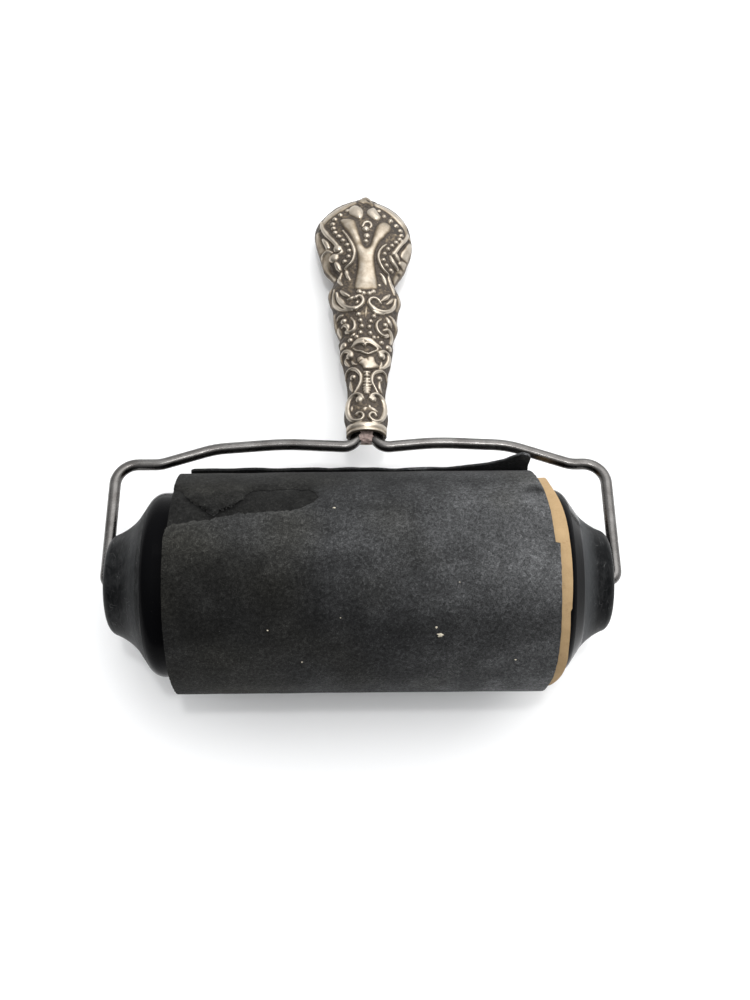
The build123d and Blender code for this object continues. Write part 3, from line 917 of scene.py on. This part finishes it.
# Free edge of the flap: (along the roller, length beyond the line where it leaves the roll)
FLAP_EDGE = [
    (44.6, 16.8), (44.2, 18.2), (42.6, 18.4), (40.6, 15.9), (38.0, 13.9), (34.0, 12.2), (27.0, 10.8),
    (20.0, 10.2),
    (10.0, 9.9), (0.0, 10.2), (-6.0, 10.7), (-16.0, 10.4), (-30.0, 10.6), (-44.0, 10.4), (-45.0, 10.0),
]


def distance_to(line, points):
    """Distance of each point from a polyline."""
    nearest = np.full(len(points), 1e9)
    for start, end in zip(line[:-1], line[1:]):
        run = end - start
        t = np.clip(((points - start) @ run) / max(run @ run, 1e-9), 0, 1)
        nearest = np.minimum(nearest, np.linalg.norm(points - start - t[:, None] * run, axis=1))
    return nearest


def inside_loop(loop, points):
    inside = np.zeros(len(points), bool)
    for (x0, y0), (x1, y1) in zip(loop, np.roll(loop, -1, axis=0)):
        if y0 != y1:
            crosses = (y0 > points[:, 1]) != (y1 > points[:, 1])
            inside ^= crosses & (points[:, 0] < (x1 - x0) * (points[:, 1] - y0) / (y1 - y0) + x0)
    return inside


def subdivided(points, step):
    """Points along straight runs, about step apart, without the last point."""
    samples = []
    for start, end in zip(points[:-1], points[1:]):
        pieces = max(1, int(round(np.linalg.norm(np.subtract(end, start)) / step)))
        samples += [np.add(start, np.subtract(end, start) * k / pieces) for k in range(pieces)]
    return np.array(samples)


def soft_noise(points, size, seed):
    """Smooth random field between about -1 and 1 over 2-D points, with features about size across."""
    waves = np.random.default_rng(seed)
    total = np.zeros(len(points))
    for _ in range(24):
        turn = waves.uniform(0, tau)
        wave = np.array([cos(turn), sin(turn)]) * tau / (size * waves.uniform(0.7, 1.8))
        total += np.sin(points @ wave + waves.uniform(0, tau))
    return total / 5.0


def outer_ply(look):
    """The outer blotting ply: one sheet, torn at the left, with a lost strip and a lifted flap."""
    inner_radius = node_radius("grey_inner_wrap")
    thickness = AXIS_HEIGHT - inner_radius
    middle_radius = inner_radius + thickness / 2

    def along(degrees_round):
        return radians(degrees_round) * middle_radius

    # Outline on the flat sheet: across is the roller's axis, up is the way round the roll
    leaves = along(FLAP_LEAVES)
    strip = [(x, along(angle)) for x, angle in STRIP_EDGE]
    torn = [(x, along(angle)) for x, angle in TORN_EDGE]
    right = [(x, along(angle)) for x, angle in RIGHT_EDGE] + [(44.9, leaves)]
    flap = [(x, leaves + length) for x, length in FLAP_EDGE]
    left = [(-46.2, leaves), (LEFT_EDGE, along(337.0)), torn[0]]
    start = [(-46.9, along(SHEET_STARTS)), strip[0]]
    cut_line = subdivided(start + strip[1:] + right + flap + left, 1.2)
    cut_line = cut_line + rng.normal(size=cut_line.shape) * 0.03
    torn_part = subdivided(torn, 0.45)
    torn_part = torn_part + rng.normal(size=torn_part.shape) * 0.09
    torn_part[:, 1] += 0.2 * soft_noise(torn_part, 2.5, 3)
    side_part = subdivided([torn[-1], start[0]], 1.2)
    loop = np.vstack([cut_line, torn_part, side_part])
    closed = np.vstack([loop, loop[:1]])

    # Points inside the outline, and a row of them close to the torn edge
    low, high = loop.min(axis=0), loop.max(axis=0)
    step = 1.6
    grid_x, grid_y = np.meshgrid(np.arange(low[0], high[0], step), np.arange(low[1], high[1], step))
    grid_x[::2] += step / 2
    inner = np.stack([grid_x.ravel(), grid_y.ravel()], axis=1)
    inner += rng.normal(size=inner.shape) * 0.05
    inner = inner[inside_loop(loop, inner) & (distance_to(closed, inner) > 0.8)]
    sideways = np.roll(torn_part, -1, axis=0) - np.roll(torn_part, 1, axis=0)
    sideways = np.stack([-sideways[:, 1], sideways[:, 0]], axis=1)
    sideways /= np.maximum(np.linalg.norm(sideways, axis=1, keepdims=True), 1e-9)
    lip = torn_part[2:-2] + sideways[2:-2] * 0.35
    lip = lip[inside_loop(loop, lip) & (distance_to(closed, lip) > 0.2)]
    flat = np.vstack([loop, lip, inner])
    edges = [(k, (k + 1) % len(loop)) for k in range(len(loop))]
    vertices, _, triangles, *_ = delaunay_2d_cdt([Vector(point) for point in flat], edges, [], 1, 1e-5)
    flat = np.array([tuple(point) for point in vertices])
    triangles = np.array(triangles)
    triangles = triangles[inside_loop(loop, flat[triangles].mean(axis=1))]

    x, travel = flat[:, 0], flat[:, 1]
    angle = np.minimum(travel, leaves) / middle_radius
    angle_degrees = np.degrees(angle)
    beyond = np.maximum(travel - leaves, 0)
    torn_distance = distance_to(torn_part, flat)
    upper_edge = (angle_degrees < 52) * (angle_degrees > 20)
    tongue_outline = np.array(TORN_EDGE[TONGUE_FIRST:TONGUE_LAST])
    in_tongue = inside_loop(tongue_outline, np.stack([x, angle_degrees], axis=1))
    tongue = in_tongue * np.clip((angle_degrees - TONGUE_ROOT) / (TONGUE_TIP - TONGUE_ROOT), 0, 1.1)
    lift = 0.05 * (1 + soft_noise(flat, 14.0, 5)) * fade(leaves - travel, 0, 12.0)
    lift += 0.6 * fade(-angle_degrees, -44, -16) * (1 - 0.5 * fade(-angle_degrees, 0, 8))
    lift += 1.0 * tongue**1.4
    feather = 0.15 + 0.85 * fade(torn_distance, 0.0, 1.3)

    def placed(height):
        across = roller_to_row(x, angle, inner_radius + height + lift)
        ahead = np.stack([np.zeros_like(angle), -np.sin(angle), np.cos(angle)], axis=-1) * MM
        outward = np.stack([np.zeros_like(angle), np.cos(angle), np.sin(angle)], axis=-1) * MM
        curl = 0.004 * beyond**2 * (0.6 + 0.4 * fade(x, 10, 44))
        curl += 0.14 * soft_noise(flat, 9.0, 8) * fade(beyond, 0, 6)
        tip = fade(x, 39.0, 44.5) * fade(beyond, 11.0, 18.0)
        return across + ahead * beyond[:, None] + outward * (curl - 1.8 * tip)[:, None]

    outside = placed(thickness * feather)
    inside = placed(np.zeros(len(flat)))
    count = len(flat)
    faces = [list(face) for face in triangles] + [[b + count, a + count, c + count] for a, b, c in triangles]
    border = set()
    for a, b, c in triangles:
        for pair in ((a, b), (b, c), (c, a)):
            if (pair[1], pair[0]) in border:
                border.discard((pair[1], pair[0]))
            else:
                border.add(pair)
    faces += [[b, a, a + count, b + count] for a, b in sorted(border)]

    # Tone in stops: ink stains, painted shade and painted light; darker to the left, round the front and where the
    # tear lies bare
    tone = STAIN_AND_PAINTED_SHADE_LEFT + (STAIN_AND_PAINTED_LIGHT_RIGHT - STAIN_AND_PAINTED_SHADE_LEFT) * fade(x, -60, 55)
    # Painted shade round the front and lower side of the roll
    tone = tone + PAINTED_SHADE_FRONT * fade(angle_degrees, 80, 122) * fade(-angle_degrees, -178, -138)
    tone = tone + 0.2 * soft_noise(flat, 26.0, 11) + 0.19 * soft_noise(flat, 8.0, 12)
    tone = tone - 0.55 * fade(-angle_degrees, -46, -36) * fade(angle_degrees, 0, 12)
    tone = tone + 0.5 * fade(angle_degrees, 58, 66) * fade(-angle_degrees, -90, -76) * fade(-x, -30, 0)
    tone = tone + 0.35 * fade(angle_degrees, 60, 68) * fade(-angle_degrees, -88, -76) * fade(-x, 16, 28)
    tone = tone + 0.45 * fade(x, 0, 20) * fade(angle_degrees, 84, 94) * fade(-angle_degrees, -120, -104)
    # Lighter at the right end; lighter from the lower front to the bottom edge, painted bounce light from the
    # floor
    tone = tone + 0.35 * fade(x, 34, 46) + 0.45 * fade(angle_degrees, 122, 140)
    tone = tone + 0.45 * fade(-x, 12, 40) * fade(angle_degrees, 108, 132)
    ragged = 0.5 + 0.5 * soft_noise(flat, 6.0, 13)
    stain = fade(x + 5 * ragged, -5, 4) * fade(-x - 6 * ragged, -40, -30)
    stain *= fade(angle_degrees, 12, 22) * fade(-angle_degrees - 8 * ragged, -62, -54)
    tone = tone - 0.25 * stain * (0.7 + 0.5 * ragged)
    tone = tone + 0.2 * fade(-x, 6, 22) * fade(-angle_degrees, -66, -56)
    tone = tone - 0.35 * fade(1.2 + 2.2 * ragged - torn_distance, 0, 2.4) * upper_edge
    tone = tone - in_tongue * (0.9 + 0.45 * soft_noise(flat, 3.0, 19))
    tone = tone + 0.3 * fade(0.3 - torn_distance, 0, 0.3) * (angle_degrees > 55)
    spots = [((43.8, 44.5), 0.8), ((45.1, 48.0), 0.7), ((44.6, 46.2), 0.5), ((42.4, 46.5), 0.4)]
    for (spot_x, spot_angle), size in spots:
        away = np.hypot(x - spot_x, travel - along(spot_angle))
        tone = tone - 1.3 * fade(size + 0.9 - away, 0, 0.9)
    under = -1.9 + 0.2 * soft_noise(flat, 6.0, 21)
    rubbed = fade(x, 12.2, 13.4) * fade(-x, -19.4, -18.2) * fade(beyond, 7.4, 9.4)
    rubbed = np.maximum(rubbed, fade(x, 40.6, 43.0) * fade(beyond, 12.5, 15.5) * 0.8)
    under = under + 2.3 * rubbed
    warmth = np.clip(0.7 - 0.9 * fade(x, -50, 30) + 0.3 * soft_noise(flat, 20.0, 17), 0, 1)
    attributes = {"tone": np.concatenate([tone, under]), "warmth": np.concatenate([warmth, warmth * 0])}
    piece = make_mesh("torn_outer_ply", np.vstack([outside, inside]), faces, attributes, sharp_angle=50)
    dress(piece, look, "roller", "grey_blotting_paper", "grey_outer_wrap")


def wound_tube(name, node, look, slot, inner_radius, layers, wander, seed, end_shift=None, tones=None):
    """Tube of wound paper: wavy ends that show its layers, and skin that isn't quite round."""
    low, high = span(node)
    outer_radius = node_radius(node)
    turns, runs = 240, 96
    angle = np.arange(turns) / turns * tau
    ring = np.stack([np.cos(angle), np.sin(angle)], axis=1) * 20.0
    right_shift = end_shift(np.degrees(angle)) if end_shift else 0.0
    radii = np.linspace(inner_radius, outer_radius, 2 * layers + 1)

    def end_ring(side, k):
        layer = (k + 1) // 2
        shift = wander * (0.5 + 0.5 * soft_noise(ring + layer * 3.1, 16.0, seed + layer)) + 0.12 * (k % 2)
        if side < 0:
            return low + shift
        return high - shift - right_shift

    # Left end from the bore outwards, then along the skin, then the right end inwards to the bore
    rows = [(end_ring(-1, k), np.full(turns, radius)) for k, radius in enumerate(radii)]
    left, right = end_ring(-1, 2 * layers), end_ring(1, 2 * layers)
    for run in range(1, runs):
        t = run / runs
        skin = outer_radius - 0.03 * (1 + soft_noise(ring + run * 0.8, 14.0, seed + 90))
        rows.append((left * (1 - t) + right * t, skin))
    rows += [(end_ring(1, k), np.full(turns, radii[k])) for k in range(2 * layers, -1, -1)]
    points = np.vstack([roller_to_row(x, angle, radius) for x, radius in rows])
    count = len(rows)
    faces = grid_faces(count, turns, wrap=True)
    last = (count - 1) * turns
    faces += [[last + k, last + (k + 1) % turns, (k + 1) % turns, k] for k in range(turns)]
    attributes = {}
    if tones:
        row_x = np.concatenate([np.broadcast_to(x, turns) for x, _ in rows])
        attributes["tone"] = tones(row_x, np.degrees(np.tile(angle, count)))
        attributes["warmth"] = np.full(count * turns, 0.5)
    piece = make_mesh(name, points, faces, attributes, sharp_angle=40)
    dress(piece, look, "roller", slot, node)


def inner_ply_tone(x, angle):
    """Tone in stops: darker to the left and where the outer ply is torn away, each part stain and part painted
    shade.
    """
    bare = fade(-x, 6, 14) * fade(angle, 30, 44) * fade(-angle, -80, -68)
    patches = soft_noise(np.stack([x, angle * 0.5], axis=1), 8.0, 31)
    tip = np.array([(along, radians(way) * PLY_RADIUS) for along, way in TORN_EDGE[TONGUE_FIRST:TONGUE_LAST]])
    near = distance_to(tip, np.stack([x, np.radians(angle) * PLY_RADIUS], axis=1))
    # The last term is a painted shadow of the lifted tongue, close round its tip
    return STAIN_AND_PAINTED_SHADE_LEFT + 0.1 - 0.55 * bare + 0.2 * patches - 1.2 * fade(1.3 - near, 0, 1.3)


def slip(angle):
    """How far the turns have slipped back, from 0 to 1: round the top, the back and underneath."""
    return fade(-angle, -84.0, -30.0) + fade(angle, 142.0, 185.0)


def tan_end_shift(angle):
    """How far the coil's right end sits back."""
    return 2.6 * slip(angle) + 0.4 * fade(angle, 114.0, 115.0) * fade(-angle, -160.0, -130.0)


def inner_ply_shift(angle):
    return 1.7 * slip(angle)


def flecks(look):
    """Crumbs of pale paper stuck to the outer ply: (along the roller, angle, length, width in mm)."""
    crumbs = [
        (19.3, 126.3, 1.5, 1.0), (18.4, 122.2, 0.6, 0.5), (-22.2, 123.0, 0.4, 0.3), (-6.1, 59.8, 0.7, 0.5),
        (-4.6, 116.8, 0.3, 0.25), (-14.3, 142.0, 0.4, 0.35), (37.9, 141.7, 0.5, 0.3),
        (24.0, 100.0, 0.3, 0.25),
        (-30.0, 205.0, 0.5, 0.4), (8.0, 250.0, 0.6, 0.5), (30.0, 215.0, 0.4, 0.4),
    ]
    points, faces = [], []
    for x, angle, length, width in crumbs:
        around, rings = 14, 5
        first = len(points)
        wobble = 1 + 0.18 * rng.normal(size=around)
        for ring in range(rings):
            lean = ring / rings * pi / 2
            for k in range(around):
                turn = k / around * tau
                reach = cos(lean) * wobble[k] / 2
                dx, dy = length * reach * cos(turn), width * reach * sin(turn)
                radius = AXIS_HEIGHT + 0.02 + 0.22 * sin(lean)
                points.append(roller_to_row(x + dx, radians(angle) + dy / AXIS_HEIGHT, radius))
        points.append(roller_to_row(x, radians(angle), AXIS_HEIGHT + 0.25))
        faces += grid_faces(rings, around, first, wrap=True)
        top = first + (rings - 1) * around
        faces += [[top + k, top + (k + 1) % around, len(points) - 1] for k in range(around)]
        faces.append([first + k for k in range(around)])
    piece = make_mesh("paper_crumbs", np.array(points), faces)
    dress(piece, look, "roller", "tan_paper")


# ---------------------------------------------------------------- cement plug


def cement_lump(look):
    """Rough cement that fills the handle's mouth between the two legs of the wire."""
    node = frame["nodes"]["mouth_plug"]
    corners = row_to_yoke([vertex.co for vertex in node.data.vertices])
    low, high = corners.min(axis=0), corners.max(axis=0)
    middle, half = (low + high) / 2, (high - low) / 2 * (1.45, 1.02, 1.2)
    rings, turns = 40, 72
    lean = np.linspace(-pi / 2, pi / 2, rings)[1:-1, None]
    turn = (np.arange(turns) / turns * tau)[None, :]

    def squared(value):
        return np.sign(value) * np.abs(value) ** 0.55

    shape = np.stack(
        [
            squared(np.cos(lean)) * squared(np.cos(turn)),
            squared(np.sin(lean)) * np.ones_like(turn),
            squared(np.cos(lean)) * squared(np.sin(turn)),
        ],
        axis=-1,
    ).reshape(-1, 3)
    shape = np.vstack([shape, [[0, -1, 0], [0, 1, 0]]])
    lumps = soft_noise(shape[:, :2] * half[:2] + shape[:, 2:] * 2.0, 1.6, 71)
    lumps += 0.5 * soft_noise(shape[:, 1:] * half[1:] + shape[:, :1], 0.8, 72)
    points = middle + shape * half * (1 + 0.07 * lumps[:, None])
    rows = rings - 2
    faces = grid_faces(rows, turns, wrap=True)
    faces += [[k, (k + 1) % turns, rows * turns] for k in range(turns)]
    last = (rows - 1) * turns
    faces += [[last + (k + 1) % turns, last + k, rows * turns + 1] for k in range(turns)]
    piece = make_mesh("mouth_cement_lump", yoke_to_row(points), faces)
    dress(piece, look, "yoke_frame", "mouth_cement", "mouth_plug")


# ---------------------------------------------------------------- stage


def area_light(name, place, target, size, power, colour=(1.0, 1.0, 1.0), size_y=None):
    light = bpy.data.lights.new(name, "AREA")
    light.shape = "RECTANGLE"
    light.size = size
    light.size_y = size_y or size
    light.energy = power
    light.color = colour
    lamp = bpy.data.objects.new(name, light)
    lamp.location = place
    lamp.rotation_euler = (Vector(target) - Vector(place)).to_track_quat("-Z", "Y").to_euler()
    bpy.context.scene.collection.objects.link(lamp)


ROOM_DARK = 0.3
ROOM_BRIGHT = 1.5


def stage():
    scene = bpy.context.scene
    scene.view_settings.view_transform = "Standard"
    world = bpy.data.worlds.new("studio")
    world.use_nodes = True
    background = world.node_tree.nodes["Background"]
    background.inputs["Color"].default_value = (0.98, 0.99, 1.0, 1.0)
    # The room is brightest high up behind the handle
    nodes, links = world.node_tree.nodes, world.node_tree.links
    direction = nodes.new("ShaderNodeTexCoord").outputs["Generated"]
    toward = nodes.new("ShaderNodeVectorMath")
    toward.operation = "DOT_PRODUCT"
    toward.inputs[1].default_value = Vector((0.35, 0.7, 0.62)).normalized()
    links.new(direction, toward.inputs[0])
    glow = nodes.new("ShaderNodeMapRange")
    glow.interpolation_type = "SMOOTHSTEP"
    limits = {"From Min": -0.3, "From Max": 1.0, "To Min": ROOM_DARK, "To Max": ROOM_BRIGHT}
    for key, limit in limits.items():
        glow.inputs[key].default_value = limit
    links.new(toward.outputs["Value"], glow.inputs["Value"])
    links.new(glow.outputs["Result"], background.inputs["Strength"])
    scene.world = world
    floor_mesh = bpy.data.meshes.new("floor")
    half = 2.5
    floor_mesh.from_pydata(
        [(-half, -half, 0), (half, -half, 0), (half, half, 0), (-half, half, 0)], [], [(0, 1, 2, 3)]
    )
    floor = bpy.data.objects.new("floor", floor_mesh)
    scene.collection.objects.link(floor)
    paint = bpy.data.materials.new("floor_paint")
    paint.use_nodes = True
    paint.node_tree.nodes["Principled BSDF"].inputs["Base Color"].default_value = (0.95, 0.95, 0.95, 1.0)
    paint.node_tree.nodes["Principled BSDF"].inputs["Roughness"].default_value = 0.9
    floor_mesh.materials.append(paint)
    middle = (0.0, 0.03, 0.02)
    area_light("key", (0.7, 1.35, 1.5), middle, 2.2, 24.0)
    area_light("top", (0.4, 0.2, 1.5), middle, 1.0, 5.0)
    area_light("lamp", (0.05, 0.1, 1.3), middle, 0.07, 2.6)


# ---------------------------------------------------------------- camera

CAMERA_ELEVATION = radians(76.07)
CAMERA_DISTANCE = 303.6
CAMERA_SHIFT = (3.93, 21.78)
CAMERA_ROLL = radians(-0.53)
LENS = 41.4
SENSOR = 36.0


def camera():
    view_up = Vector((0, sin(CAMERA_ELEVATION), cos(CAMERA_ELEVATION)))
    forward = Vector((0, cos(CAMERA_ELEVATION), -sin(CAMERA_ELEVATION)))
    right = Vector((1, 0, 0))
    place = (
        Vector((0, 0, AXIS_HEIGHT))
        + right * CAMERA_SHIFT[0] + view_up * CAMERA_SHIFT[1]
        - forward * CAMERA_DISTANCE
    ) * MM
    turned = Matrix((right, view_up, -forward)).transposed() @ Matrix.Rotation(CAMERA_ROLL, 3, "Z")
    data = bpy.data.cameras.new("camera")
    data.lens = LENS
    data.sensor_width = SENSOR
    data.sensor_fit = "VERTICAL"
    data.sensor_height = SENSOR
    data.clip_start = 0.01
    eye = bpy.data.objects.new("camera", data)
    eye.matrix_world = Matrix.Translation(place) @ turned.to_4x4()
    bpy.context.scene.collection.objects.link(eye)
    bpy.context.scene.camera = eye


camera()
stage()
silver = silver_look()
handle(silver)
dress_node("yoke_wire", steel_look())
cement_lump(plain_look("mouth_cement", (0.26, 0.18, 0.16), (0.66, 0.53, 0.48), 0.7, 0.9, 0.2))
dress_node("handle_pitch_core", plain_look("pitch", (0.02, 0.016, 0.013), (0.05, 0.04, 0.03), 1.5, 0.6, 0.1))
dress_node("drum_core", gloss_look())
satin = satin_look()
dress_node("left_end_cap", satin)
dress_node("right_end_cap", satin)
blotting = blotting_look()
tan = tan_look()
card = plain_look("card", (0.26, 0.19, 0.11), (0.42, 0.33, 0.21), 1.0, 0.9, 0.1)
drum_radius = node_radius("drum_core")
wound_tube("card_tube_wound", "card_tube", card, "card", drum_radius, 2, 0.15, 41)
card_radius = node_radius("card_tube")
wound_tube(
    "tan_roll_wound", "tan_blotter_roll", tan, "tan_paper", card_radius, 6, 0.3, 51, end_shift=tan_end_shift
)
wound_tube(
    "inner_ply", "grey_inner_wrap", blotting, "grey_blotting_paper",
    node_radius("tan_blotter_roll"), 1, 0.12, 61,
    end_shift=inner_ply_shift, tones=inner_ply_tone,
)
outer_ply(blotting)
flecks(plain_look("paper_crumbs", (0.42, 0.38, 0.29), (0.62, 0.57, 0.46), 0.5, 0.9, 0.05))
